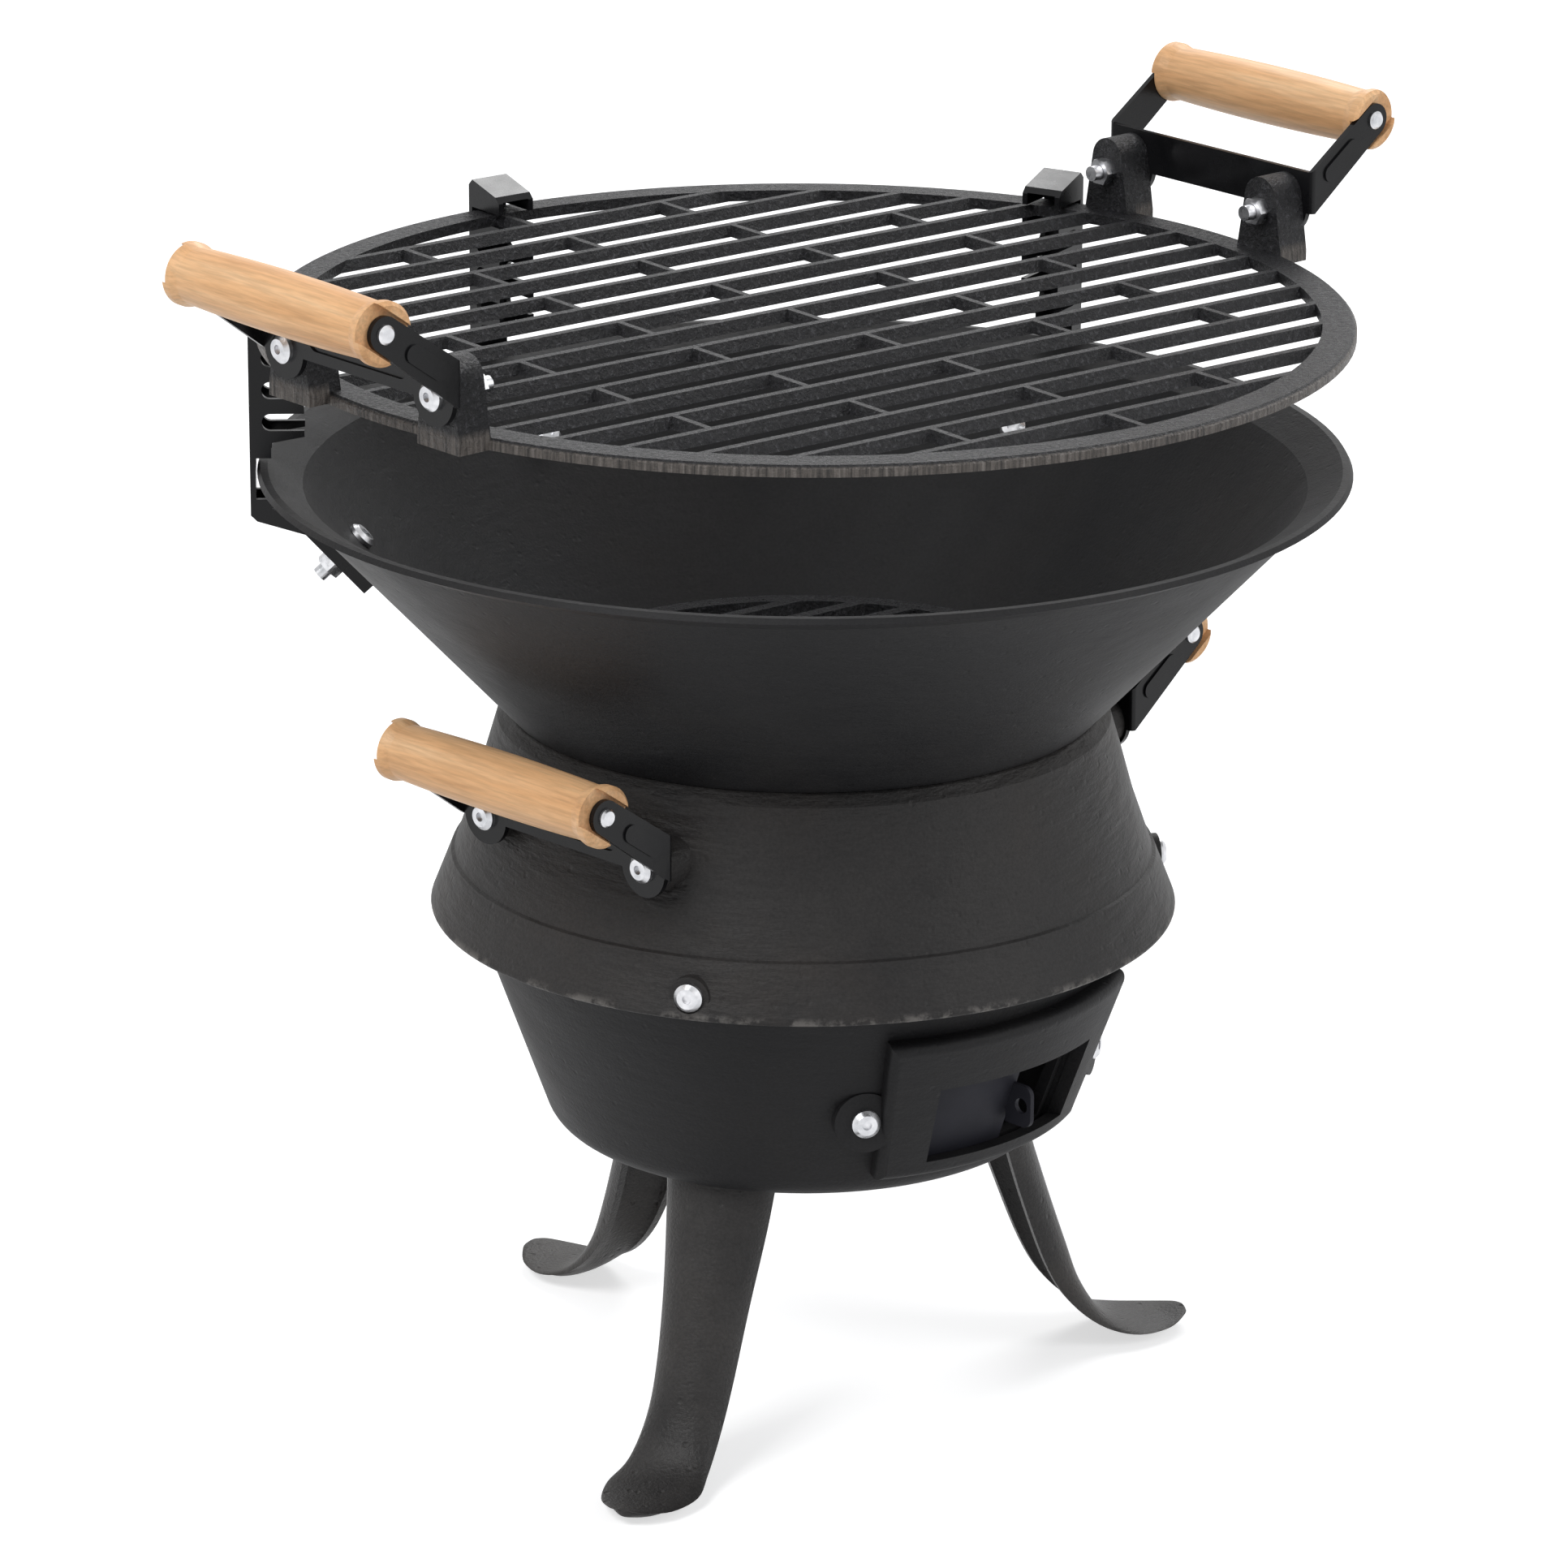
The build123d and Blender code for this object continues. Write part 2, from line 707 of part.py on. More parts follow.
# Support brackets: a channel with the web outward, four fingers and a hook above them
inner_tail_start = web_start - wall_out * support_sheet
inner_tail_end = inner_tail_start - wall_run * 2 * tail_length
with BuildPart() as support_bracket:
    with BuildSketch(Plane.XZ) as flange_outline:
        with BuildLine():
            Polyline(
                (web_out_r, hook_top_z - bend_round),
                (web_out_r - bend_round, hook_top_z),
                (tip_r + bend_round, hook_tip_z),
                (tip_r, hook_tip_z - bend_round),
                (tip_r, lowest_finger_z - bend_round),
                (flange_r, lowest_finger_z - 2 * bend_round),
                (flange_r, support_bottom_z + 2 * bend_round),
                (tail_start.X, tail_start.Y),
                (tail_end.X, tail_end.Y),
                (web_end.X, web_end.Y),
                (web_start.X, web_start.Y),
                (web_out_r - bend_round, support_bottom_z),
                (web_out_r, support_bottom_z + bend_round),
                close=True,
            )
        make_face()
        for level in range(finger_levels):
            bottom = cooking_grate_bottom_z - level * finger_pitch
            top = hook_bottom_z if level == 0 else bottom + slot_height
            depth = cooking_grate_r + support_web_gap - tip_r if level == 0 else finger_reach - support_flange
            with Locations((tip_r + depth / 2, (bottom + top) / 2)):
                Rectangle(depth, top - bottom, mode=Mode.SUBTRACT)
            if level > 0:
                with Locations((tip_r + depth, (bottom + top) / 2)):
                    Circle((top - bottom) / 2, mode=Mode.SUBTRACT)
        with Locations((web_in_r - finger_reach / 2, bowl_rim_z - rim_land)):
            Rectangle(finger_reach, 4 * rim_land, mode=Mode.SUBTRACT)
        with BuildLine():
            Polyline(
                (0, bowl_rim_z),
                (bowl_rim_r, bowl_rim_z),
                (bowl_rim_r + sheet_fit, bowl_rim_z - rim_land),
                (bowl_radius(bowl_flare_z) + sheet_fit, bowl_flare_z),
                (bowl_radius(neck_top_z) + sheet_fit, neck_top_z),
                (0, neck_top_z),
                close=True,
            )
        make_face(mode=Mode.SUBTRACT)
    extrude(amount=support_width / 2, both=True)
    with BuildSketch(Plane.XZ):
        with BuildLine():
            Polyline(
                (web_in_r, hook_top_z - bend_round - support_sheet),
                (web_in_r - bend_round, hook_top_z - support_sheet),
                (tip_r, hook_tip_z - support_sheet),
                (tip_r - support_flange, hook_tip_z - support_sheet),
                (0, neck_top_z),
                (inner_tail_end.X, inner_tail_end.Y),
                (inner_tail_start.X, inner_tail_start.Y),
                (web_in_r - bend_round, support_bottom_z + support_sheet),
                (web_in_r, support_bottom_z + support_sheet + bend_round),
                close=True,
            )
        make_face()
    extrude(amount=support_width / 2 - support_sheet, both=True, mode=Mode.SUBTRACT)
    with BuildSketch(wall_plane(0, bolt_point, wall_out)):
        Circle(bolt_r + bolt_clearance)
    extrude(amount=-2 * support_sheet, mode=Mode.SUBTRACT)

for name, azimuth in zip(support_names, support_azimuths):
    turned = support_bracket.part.rotate(Axis.Z, azimuth)
    turned.label = "grate_bracket_" + name
    export_step(turned, "parts/grate_bracket_" + name + ".step")

# Bracket bolts: head inside the bowl, nut outside on the web
bracket_bolt = make_bolt(support_flange + bowl_wall + head_clear + nut_height + thread_out)
with BuildPart() as bracket_bolts:
    with Locations(*[wall_plane(a, head_point, -wall_out) for a in support_azimuths]):
        add(bracket_bolt)
bracket_bolts.part.label = "bracket_bolts"
export_step(bracket_bolts.part, "parts/bracket_bolts.step")
with BuildPart() as bracket_nuts:
    with Locations(*[wall_plane(a, bolt_point, -wall_out) for a in support_azimuths]):
        add(nut)
bracket_nuts.part.label = "bracket_nuts"
export_step(bracket_nuts.part, "parts/bracket_nuts.step")


# Grates: tapered bars along X, staggered bridges between them and a flat rim
def make_grate(radius, thickness, rim, pitch, bar_top, bar_base, spacing):
    inside = radius - rim
    bar_angle = slope_angle(bar_base, bar_top, thickness)
    bridge_angle = slope_angle(bridge_base, bridge_top, thickness)
    low = (Align.CENTER, Align.MIN)
    half_bars = int((inside - bar_base / 2) / pitch + 0.5)
    bars = [(n + 0.5) * pitch for n in range(-half_bars, half_bars)]
    with BuildPart() as grate:
        with BuildSketch(Plane.YZ):
            with Locations(*[(y, 0) for y in bars]):
                Trapezoid(bar_base, thickness, bar_angle, align=low)
        extrude(amount=radius, both=True)
        for row in range(-half_bars, half_bars + 1):
            first = 0 if row % 2 == 0 else spacing / 2
            half_chord = math.sqrt(inside**2 - (min(abs(row) * pitch, inside)) ** 2)
            places = [first + n * spacing for n in range(-3, 3)]
            places = [x for x in places if abs(x) < half_chord - pitch / 2]
            if places:
                with BuildSketch(Plane.XZ.offset(-row * pitch)):
                    with Locations(*[(x, 0) for x in places]):
                        Trapezoid(bridge_base, thickness, bridge_angle, align=low)
                extrude(amount=pitch / 2, both=True)
        Cylinder(inside + rim / 2, 4 * thickness, mode=Mode.INTERSECT)
        with BuildSketch():
            Circle(radius)
            Circle(inside, mode=Mode.SUBTRACT)
        extrude(amount=thickness)
        top_edge = grate.edges().filter_by(GeomType.CIRCLE).group_by(Axis.Z)[-1].sort_by(SortBy.RADIUS)[-1]
        chamfer(top_edge, edge_round)
    return grate.part


charcoal_flat = make_grate(
    charcoal_grate_r,
    charcoal_grate_thickness,
    charcoal_rim,
    charcoal_pitch,
    charcoal_bar_top,
    charcoal_bar_base,
    charcoal_bridge_spacing,
)
charcoal_grate = charcoal_flat.moved(Location((0, 0, ledge_z), (0, 0, bar_azimuth)))
charcoal_grate.label = "charcoal_grate"
export_step(charcoal_grate, "parts/charcoal_grate.step")

cooking_flat = make_grate(
    cooking_grate_r,
    cooking_grate_thickness,
    cooking_rim,
    cooking_pitch,
    cooking_bar_top,
    cooking_bar_base,
    bridge_spacing,
)
grate_seats = [
    chord_plane(grate_handle_azimuth + turn, grate_handle_distance, grate_handle_z) for turn in (180, 0)
]
with BuildPart() as cooking_grate:
    add(cooking_flat.moved(Location((0, 0, cooking_grate_bottom_z), (0, 0, bar_azimuth))))
    for seat in grate_seats:
        for place in (-bolt_spacing / 2, bolt_spacing / 2):
            with BuildSketch(seat):
                with Locations((place, boss_over_bolt)):
                    Circle(boss_width / 2)
                with Locations((place, cooking_grate_bottom_z + cooking_grate_thickness / 2 - grate_handle_z)):
                    Rectangle(boss_base, cooking_grate_thickness)
                make_hull()
            extrude(amount=-boss_depth)
        with BuildSketch(seat):
            with Locations((-bolt_spacing / 2, 0), (bolt_spacing / 2, 0)):
                Circle(bolt_r + bolt_clearance)
        extrude(amount=-2 * boss_depth, mode=Mode.SUBTRACT)
cooking_grate.part.label = "cooking_grate"
export_step(cooking_grate.part, "parts/cooking_grate.step")


# Handles. The bracket is folded sheet: x runs along it, y is up and z is outward.
strip_middle = (strip_low + strip_high) / 2
arm_angle = math.degrees(math.atan2(grip_up - strip_middle, grip_out))
with BuildPart() as handle_bracket:
    with BuildSketch():
        with Locations((0, strip_middle)):
            Rectangle(2 * bracket_half, strip_high - strip_low)
        with Locations((-bolt_spacing / 2, 0), (bolt_spacing / 2, 0)):
            Circle(ear_r)
    extrude(amount=sheet)
    for side in (-1, 1):
        with BuildSketch(Plane.YZ.offset(side * bracket_half)):
            with Locations((strip_middle, sheet / 2)):
                Rectangle(strip_high - strip_low, sheet)
            with Locations((grip_up, grip_out)):
                Circle(arm_tip_r)
            make_hull()
        extrude(amount=-side * sheet)
    folds = handle_bracket.edges().filter_by(Axis.Y).filter_by(
        lambda e: abs(abs(e.center().X) - bracket_half) < 0.01 and abs(e.center().Z) < 0.01
    )
    fillet(folds, fold_round)
    with BuildSketch(Plane.XY.offset(sheet)):
        with Locations((0, strip_middle)):
            SlotOverall(bolt_spacing * 0.66, (strip_high - strip_low) / 2)
    extrude(amount=-recess_depth, mode=Mode.SUBTRACT)
    for side in (-1, 1):
        with BuildSketch(Plane.YZ.offset(side * bracket_half)):
            with Locations(((strip_middle + grip_up) / 2 - 1.0, grip_out / 2 - 1.0)):
                SlotOverall(grip_out * 0.62, ear_r * 0.62, rotation=90 - arm_angle)
        extrude(amount=side * recess_depth)
    with BuildSketch():
        with Locations((-bolt_spacing / 2, 0), (bolt_spacing / 2, 0)):
            Circle(bolt_r + bolt_clearance)
    extrude(amount=2 * sheet, mode=Mode.SUBTRACT)
    with BuildSketch(Plane.YZ.offset(-2 * bracket_half)):
        with Locations((grip_up, grip_out)):
            Circle(rivet_r + bolt_clearance)
    extrude(amount=4 * bracket_half, mode=Mode.SUBTRACT)

grip_axis = Axis((0, grip_up, grip_out), (1, 0, 0))
arm_inner_x = bracket_half - sheet
half = grip_length / 2
with BuildPart() as grip:
    with BuildSketch(Plane.XY.offset(grip_out)):
        with BuildLine():
            for side in (-1, 1):
                Polyline(
                    (side * half, grip_up),
                    (side * half, grip_up + grip_end_r - grip_bevel),
                    (side * (half - grip_bevel), grip_up + grip_end_r),
                    (side * (half - grip_bead), grip_up + grip_end_r),
                    (side * (half - 2 * grip_bead), grip_up + grip_waist_r),
                )
            ThreePointArc(
                (-half + 2 * grip_bead, grip_up + grip_waist_r),
                (0, grip_up + grip_belly_r),
                (half - 2 * grip_bead, grip_up + grip_waist_r),
            )
            Line((-half, grip_up), (half, grip_up))
        make_face()
    revolve(axis=grip_axis)
    for side in (-1, 1):
        with BuildSketch(Plane.YZ.offset(side * (arm_inner_x - sheet_fit))):
            with Locations((grip_up, grip_out)):
                Rectangle(grip_slot_width, 4 * grip_end_r, rotation=-arm_angle)
        extrude(amount=side * grip_length, mode=Mode.SUBTRACT)
    with BuildSketch(Plane.YZ.offset(-grip_length)):
        with Locations((grip_up, grip_out)):
            Circle(rivet_r + bolt_clearance)
    extrude(amount=2 * grip_length, mode=Mode.SUBTRACT)

with BuildPart() as rivet:
    with BuildSketch(Plane.YZ.offset(-bracket_half)):
        with Locations((grip_up, grip_out)):
            Circle(rivet_r)
    extrude(amount=2 * bracket_half)
    for side in (-1, 1):
        with BuildSketch(Plane.YZ.offset(side * bracket_half)):
            with Locations((grip_up, grip_out)):
                Circle(rivet_head_r)
        extrude(amount=side * rivet_head)
    for end in (0, -1):
        chamfer(rivet.edges().filter_by(GeomType.CIRCLE).group_by(Axis.X)[end], rivet_head / 2)

handle_places = {
    "barrel_handle_bracket_front": (handle_bracket, barrel_seats[0]),
    "barrel_handle_bracket_rear": (handle_bracket, barrel_seats[1]),
    "barrel_grip_front": (grip, barrel_seats[0]),
    "barrel_grip_rear": (grip, barrel_seats[1]),
    "barrel_grip_rivet_front": (rivet, barrel_seats[0]),
    "barrel_grip_rivet_rear": (rivet, barrel_seats[1]),
    "grate_handle_bracket_left": (handle_bracket, grate_seats[0]),
    "grate_handle_bracket_right": (handle_bracket, grate_seats[1]),
    "grate_grip_left": (grip, grate_seats[0]),
    "grate_grip_right": (grip, grate_seats[1]),
    "grate_grip_rivet_left": (rivet, grate_seats[0]),
    "grate_grip_rivet_right": (rivet, grate_seats[1]),
}
for name, (shape, seat) in handle_places.items():
    with BuildPart() as placed:
        with Locations(seat):
            add(shape.part)
    placed.part.label = name
    export_step(placed.part, "parts/" + name + ".step")

# Handle bolts and nuts: the barrel wall is thin, the bosses of the grate are deep
bolt_corners = ((-bolt_spacing / 2, 0, sheet), (bolt_spacing / 2, 0, sheet))
nut_far = bolt_spacing / 2 + nut_across / 2
barrel_inner_chord = math.sqrt(barrel_radius(barrel_handle_z) ** 2 - nut_far**2) - barrel_wall
pad_depth = barrel_handle_distance - barrel_inner_chord + nut_land
grate_bolt = make_bolt(sheet + boss_depth + nut_height + thread_out)
barrel_bolt = make_bolt(sheet + pad_depth + nut_height + thread_out)
for name, bolt, depth, seats in (
    ("grate_handle", grate_bolt, boss_depth, grate_seats),
    ("barrel_handle", barrel_bolt, pad_depth, barrel_seats),
):
    with BuildPart() as bolts:
        with Locations(*seats):
            with Locations(*bolt_corners):
                add(bolt)
    bolts.part.label = name + "_bolts"
    export_step(bolts.part, "parts/" + name + "_bolts.step")
    with BuildPart() as nuts:
        with Locations(*seats):
            with Locations(*[(x, y, -depth) for x, y, z in bolt_corners]):
                add(nut)
    nuts.part.label = name + "_nuts"
    export_step(nuts.part, "parts/" + name + "_nuts.step")
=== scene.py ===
import json
import math

import bpy
from mathutils import Euler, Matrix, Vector


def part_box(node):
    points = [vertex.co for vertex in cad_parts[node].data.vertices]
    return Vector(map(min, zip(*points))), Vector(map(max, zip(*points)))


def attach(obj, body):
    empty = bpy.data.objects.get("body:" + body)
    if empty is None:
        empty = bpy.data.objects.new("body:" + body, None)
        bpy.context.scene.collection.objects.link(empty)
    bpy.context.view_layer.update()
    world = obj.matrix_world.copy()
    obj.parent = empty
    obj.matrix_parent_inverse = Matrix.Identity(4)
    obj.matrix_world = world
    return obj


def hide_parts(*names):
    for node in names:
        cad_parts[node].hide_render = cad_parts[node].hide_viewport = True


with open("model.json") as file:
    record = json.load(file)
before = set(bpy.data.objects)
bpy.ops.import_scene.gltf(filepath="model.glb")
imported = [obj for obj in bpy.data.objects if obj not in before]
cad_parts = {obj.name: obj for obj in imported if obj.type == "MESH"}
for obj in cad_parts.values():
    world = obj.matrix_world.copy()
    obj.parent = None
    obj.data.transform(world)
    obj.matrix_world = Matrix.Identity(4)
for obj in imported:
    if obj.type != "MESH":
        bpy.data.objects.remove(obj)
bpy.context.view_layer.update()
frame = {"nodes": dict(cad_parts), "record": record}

# Barrel grill of cast iron with wood grips. Metres, ground at Z = 0, front towards -Y.
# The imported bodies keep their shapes. The three legs get smooth meshes of their own.

NODES = frame["nodes"]
RECORD = frame["record"]

# Camera: fitted to the photograph
CAMERA_BACK = 2.23847
CAMERA_UP = 0.95769
CAMERA_PITCH = 0.323459
CAMERA_ROLL = 0.0052563
CAMERA_LENS = 166.73
CAMERA_SENSOR = 36.0
CAMERA_SHIFT_X = -0.01254
CAMERA_REACH = 60.0

# Floor and light
FLOOR_SIZE = 12.0
FLOOR_TONE = (0.62, 0.62, 0.62, 1.0)
FLOOR_SHOWN = 0.62
LAMP_AIM = Vector((0.0, 0.0, 0.22))
SKY_TONE = (0.93, 0.95, 1.0, 1.0)
SKY_STRENGTH = 0.38
WHITE = (1.0, 1.0, 1.0, 1.0)

# Places worked out from the frame
MOUNTS = {mount["name"]: mount for mount in RECORD["mounts"]}
SKIRT_LIP_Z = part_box("upper_barrel")[0].z
GRATE_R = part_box("cooking_grate")[1].x
GRATE_TOP_Z = MOUNTS["cooking_surface"]["pos_m"][2]
POT_FLOOR_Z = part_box("lower_pot")[0].z

# Azimuths in degrees, and the turn of the wood grain along each pair of grips
GRATE_HANDLE_AZIMUTH = 42.0
BARREL_HANDLE_AZIMUTH = 45.5
ACROSS = 90.0
LEG_AZIMUTHS = {"front": -114.0, "right": 19.5, "left": 132.5}

# Worn and ground metal: height of the worn lip, band of the ground rim, its fade above
LIP_WEAR = 0.0035
GROUND_FROM = 0.0009
GROUND_TO = 0.0002
GROUND_FADE = 0.004

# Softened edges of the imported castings
EDGE_WIDTH = {
    "vent_frame": 0.0016,
    "cooking_grate": 0.0004,
    "charcoal_grate": 0.0004,
    "lower_pot": 0.0006,
    "upper_barrel": 0.0005,
    "fire_bowl": 0.0004,
}
EDGE_SEGMENTS = 2
EDGE_ANGLE = 35.0

# Legs: distance of the outer face from the axis, height, tilt of the face in degrees,
# half width, depth of the hollow and wall, from the pot down to the tip of the foot
LEG_STATIONS = (
    (0.0755, POT_FLOOR_Z, 0.0, 0.0190, 0.0135, 0.0040),
    (0.0790, 0.0800, 8.0, 0.0175, 0.0130, 0.0040),
    (0.0860, 0.0580, 15.0, 0.0150, 0.0125, 0.0040),
    (0.0935, 0.0360, 18.0, 0.0135, 0.0115, 0.0040),
    (0.0985, 0.0220, 34.0, 0.0132, 0.0080, 0.0042),
    (0.1060, 0.0105, 58.0, 0.0142, 0.0035, 0.0045),
    (0.1160, 0.0052, 82.0, 0.0160, 0.0010, 0.0048),
    (0.1280, 0.0046, 94.0, 0.0125, 0.0008, 0.0040),
    (0.1360, 0.0058, 98.0, 0.0060, 0.0006, 0.0028),
    (0.1376, 0.0062, 98.0, 0.0022, 0.0005, 0.0018),
)
LEG_STEPS = 5
LEG_RING = 12
LEG_SIDE_WALL = 0.8     # share of the wall at the sides of the channel
LEG_SHARP_ANGLE = 42.0

# Bolt pad of a leg under the pot: inner and outer end, half width, thickness
PAD_NEAR = 0.050
PAD_FAR = 0.070
PAD_HALF = 0.0150
PAD_THICK = 0.0045

# Colours of the castings
COAT_DARK = (0.007, 0.007, 0.008)
COAT_LIGHT = (0.015, 0.0145, 0.015)
COAT_BROWN = (0.014, 0.0125, 0.012)
BARREL_DARK = (0.019, 0.018, 0.018)
BARREL_LIGHT = (0.034, 0.032, 0.031)
BARREL_BROWN = (0.034, 0.029, 0.026)
BARREL_WORN = (0.16, 0.15, 0.14)
LEG_DARK = (0.020, 0.019, 0.019)
LEG_LIGHT = (0.052, 0.049, 0.047)
LEG_BROWN = (0.040, 0.034, 0.029)
SAND_DARK = (0.004, 0.004, 0.005)
SAND_LIGHT = (0.012, 0.012, 0.014)
# SAND_GLINT is a painted glint: a light colour that stands in for lamp light caught by the sand grains
SAND_GLINT = (0.075, 0.075, 0.082)
GROUND_DARK = (0.030, 0.027, 0.025)
GROUND_LIGHT = (0.125, 0.110, 0.098)
GROUND_BRIGHT = (0.22, 0.20, 0.185)

# Colours of the folded sheet, the fasteners and the wood
ENAMEL_DARK = (0.004, 0.004, 0.0045)
ENAMEL_LIGHT = (0.008, 0.008, 0.009)
PLATE_DARK = (0.014, 0.014, 0.019)
PLATE_LIGHT = (0.022, 0.022, 0.029)
ZINC_DARK = (0.46, 0.47, 0.49)
ZINC_LIGHT = (0.78, 0.78, 0.80)
BEECH_DARK = (0.66, 0.35, 0.155)
BEECH_LIGHT = (0.80, 0.47, 0.235)
BEECH_PALE = (0.87, 0.58, 0.33)


# Shader helpers: each one adds a node and gives back its output
def new_material(name):
    material = bpy.data.materials.new(name)
    material.use_nodes = True
    tree = material.node_tree
    return material, tree, tree.nodes["Principled BSDF"]


def link(tree, source, target):
    tree.links.new(source, target)


def noise(tree, coordinates, scale, detail=4.0, roughness=0.55):
    made = tree.nodes.new("ShaderNodeTexNoise")
    made.inputs["Scale"].default_value = scale
    made.inputs["Detail"].default_value = detail
    made.inputs["Roughness"].default_value = roughness
    link(tree, coordinates, made.inputs["Vector"])
    return made.outputs["Fac"]


def cells(tree, coordinates, scale):
    made = tree.nodes.new("ShaderNodeTexVoronoi")
    made.inputs["Scale"].default_value = scale
    link(tree, coordinates, made.inputs["Vector"])
    return made.outputs["Distance"]


def ramp(tree, source, stops):
    """Colours or plain values at places from 0 to 1."""
    made = tree.nodes.new("ShaderNodeValToRGB")
    elements = made.color_ramp.elements
    while len(elements) < len(stops):
        elements.new(0.5)
    for element, (place, colour) in zip(elements, stops):
        element.position = place
        if not isinstance(colour, tuple):
            colour = (colour, colour, colour)
        element.color = (*colour, 1.0)
    link(tree, source, made.inputs["Fac"])
    return made.outputs["Color"]


def mixed(tree, blend, factor, first, second):
    """Two colours blended; each argument is a number, a colour or a socket."""
    made = tree.nodes.new("ShaderNodeMix")
    made.data_type = "RGBA"
    made.blend_type = blend
    for value, socket in ((factor, made.inputs[0]), (first, made.inputs[6]), (second, made.inputs[7])):
        if isinstance(value, (int, float)):
            socket.default_value = value
        elif isinstance(value, tuple):
            socket.default_value = (*value, 1.0)
        else:
            link(tree, value, socket)
    return made.outputs[2]


def bump(tree, height, strength, distance, previous=None):
    made = tree.nodes.new("ShaderNodeBump")
    made.inputs["Strength"].default_value = strength
    made.inputs["Distance"].default_value = distance
    link(tree, height, made.inputs["Height"])
    if previous is not None:
        link(tree, previous, made.inputs["Normal"])
    return made.outputs["Normal"]


def object_coordinates(tree):
    return tree.nodes.new("ShaderNodeTexCoord").outputs["Object"]


def stretched(tree, coordinates, scale, turn=0.0):
    """Coordinates turned about Z, then scaled along each axis."""
    turned = tree.nodes.new("ShaderNodeMapping")
    turned.inputs["Rotation"].default_value = (0.0, 0.0, math.radians(turn))
    link(tree, coordinates, turned.inputs["Vector"])
    made = tree.nodes.new("ShaderNodeMapping")
    made.inputs["Scale"].default_value = scale
    link(tree, turned.outputs["Vector"], made.inputs["Vector"])
    return made.outputs["Vector"]


def mask(tree, value, low, high):
    """Rises from 0 to 1 as a value goes from low to high."""
    made = tree.nodes.new("ShaderNodeMapRange")
    made.inputs["From Min"].default_value = low
    made.inputs["From Max"].default_value = high
    link(tree, value, made.inputs["Value"])
    return made.outputs["Result"]


def height_mask(tree, coordinates, low, high):
    """Rises from 0 to 1 between two heights."""
    parts = tree.nodes.new("ShaderNodeSeparateXYZ")
    link(tree, coordinates, parts.inputs["Vector"])
    return mask(tree, parts.outputs["Z"], low, high)


def radius_mask(tree, coordinates, low, high):
    """Rises from 0 to 1 between two distances from the vertical axis."""
    flat = tree.nodes.new("ShaderNodeVectorMath")
    flat.operation = "MULTIPLY"
    flat.inputs[1].default_value = (1.0, 1.0, 0.0)
    link(tree, coordinates, flat.inputs[0])
    length = tree.nodes.new("ShaderNodeVectorMath")
    length.operation = "LENGTH"
    link(tree, flat.outputs["Vector"], length.inputs[0])
    return mask(tree, length.outputs["Value"], low, high)


# Body castings: matt black coating over sand-cast iron
def body_iron(name, dark, light, brown, rough, grain_depth, pit_depth, wrinkle_depth):
    material, tree, shader = new_material(name)
    place = object_coordinates(tree)
    clouds = noise(tree, place, 16.0, 6.0, 0.62)
    fine = noise(tree, place, 950.0, 3.0, 0.6)
    tone = ramp(tree, clouds, ((0.34, dark), (0.66, light)))
    stain = ramp(tree, noise(tree, place, 9.0, 5.0, 0.7), ((0.48, 0.0), (0.72, 0.75)))
    tone = mixed(tree, "MIX", stain, tone, brown)
    speck = ramp(tree, fine, ((0.30, 0.80), (0.70, 1.20)))
    link(tree, mixed(tree, "MULTIPLY", 1.0, tone, speck), shader.inputs["Base Color"])
    link(tree, ramp(tree, clouds, ((0.3, rough), (0.7, rough + 0.14))), shader.inputs["Roughness"])
    shader.inputs["Specular IOR Level"].default_value = 0.20
    waves = noise(tree, stretched(tree, place, (60.0, 60.0, 260.0)), 1.0, 5.0, 0.6)
    pits = ramp(tree, cells(tree, place, 170.0), ((0.0, 0.0), (0.20, 1.0)))
    normal = bump(tree, clouds, 0.35, 0.0016)
    normal = bump(tree, waves, wrinkle_depth, 0.0012, normal)
    normal = bump(tree, pits, pit_depth, 0.0005, normal)
    normal = bump(tree, fine, grain_depth, 0.0004, normal)
    link(tree, normal, shader.inputs["Normal"])
    return material


def pot_iron():
    """The pot, bowl and vent frame: an even, deep black coating."""
    return body_iron(
        "body_iron",
        COAT_DARK,
        COAT_LIGHT,
        COAT_BROWN,
        rough=0.50,
        grain_depth=0.30,
        pit_depth=0.30,
        wrinkle_depth=0.25,
    )


def barrel_iron():
    """The barrel's coating is warmer, wrinkled and worn at its lower lip."""
    material = body_iron(
        "barrel_iron",
        BARREL_DARK,
        BARREL_LIGHT,
        BARREL_BROWN,
        rough=0.46,
        grain_depth=0.40,
        pit_depth=0.55,
        wrinkle_depth=0.90,
    )
    tree = material.node_tree
    shader = tree.nodes["Principled BSDF"]
    place = object_coordinates(tree)
    coated = shader.inputs["Base Color"].links[0].from_socket
    above_lip = height_mask(tree, place, SKIRT_LIP_Z, SKIRT_LIP_Z + LIP_WEAR)
    lip = ramp(tree, above_lip, ((0.2, 1.0), (0.9, 0.0)))
    patches = ramp(tree, noise(tree, place, 70.0, 6.0, 0.7), ((0.50, 0.0), (0.60, 1.0)))
    worn = mixed(tree, "MULTIPLY", 1.0, lip, patches)
    link(tree, mixed(tree, "MIX", worn, coated, BARREL_WORN), shader.inputs["Base Color"])
    return material


def leg_iron():
    """The legs show the metal through a thin coating and shine more."""
    return body_iron(
        "leg_iron",
        LEG_DARK,
        LEG_LIGHT,
        LEG_BROWN,
        rough=0.36,
        grain_depth=0.80,
        pit_depth=0.80,
        wrinkle_depth=0.20,
    )


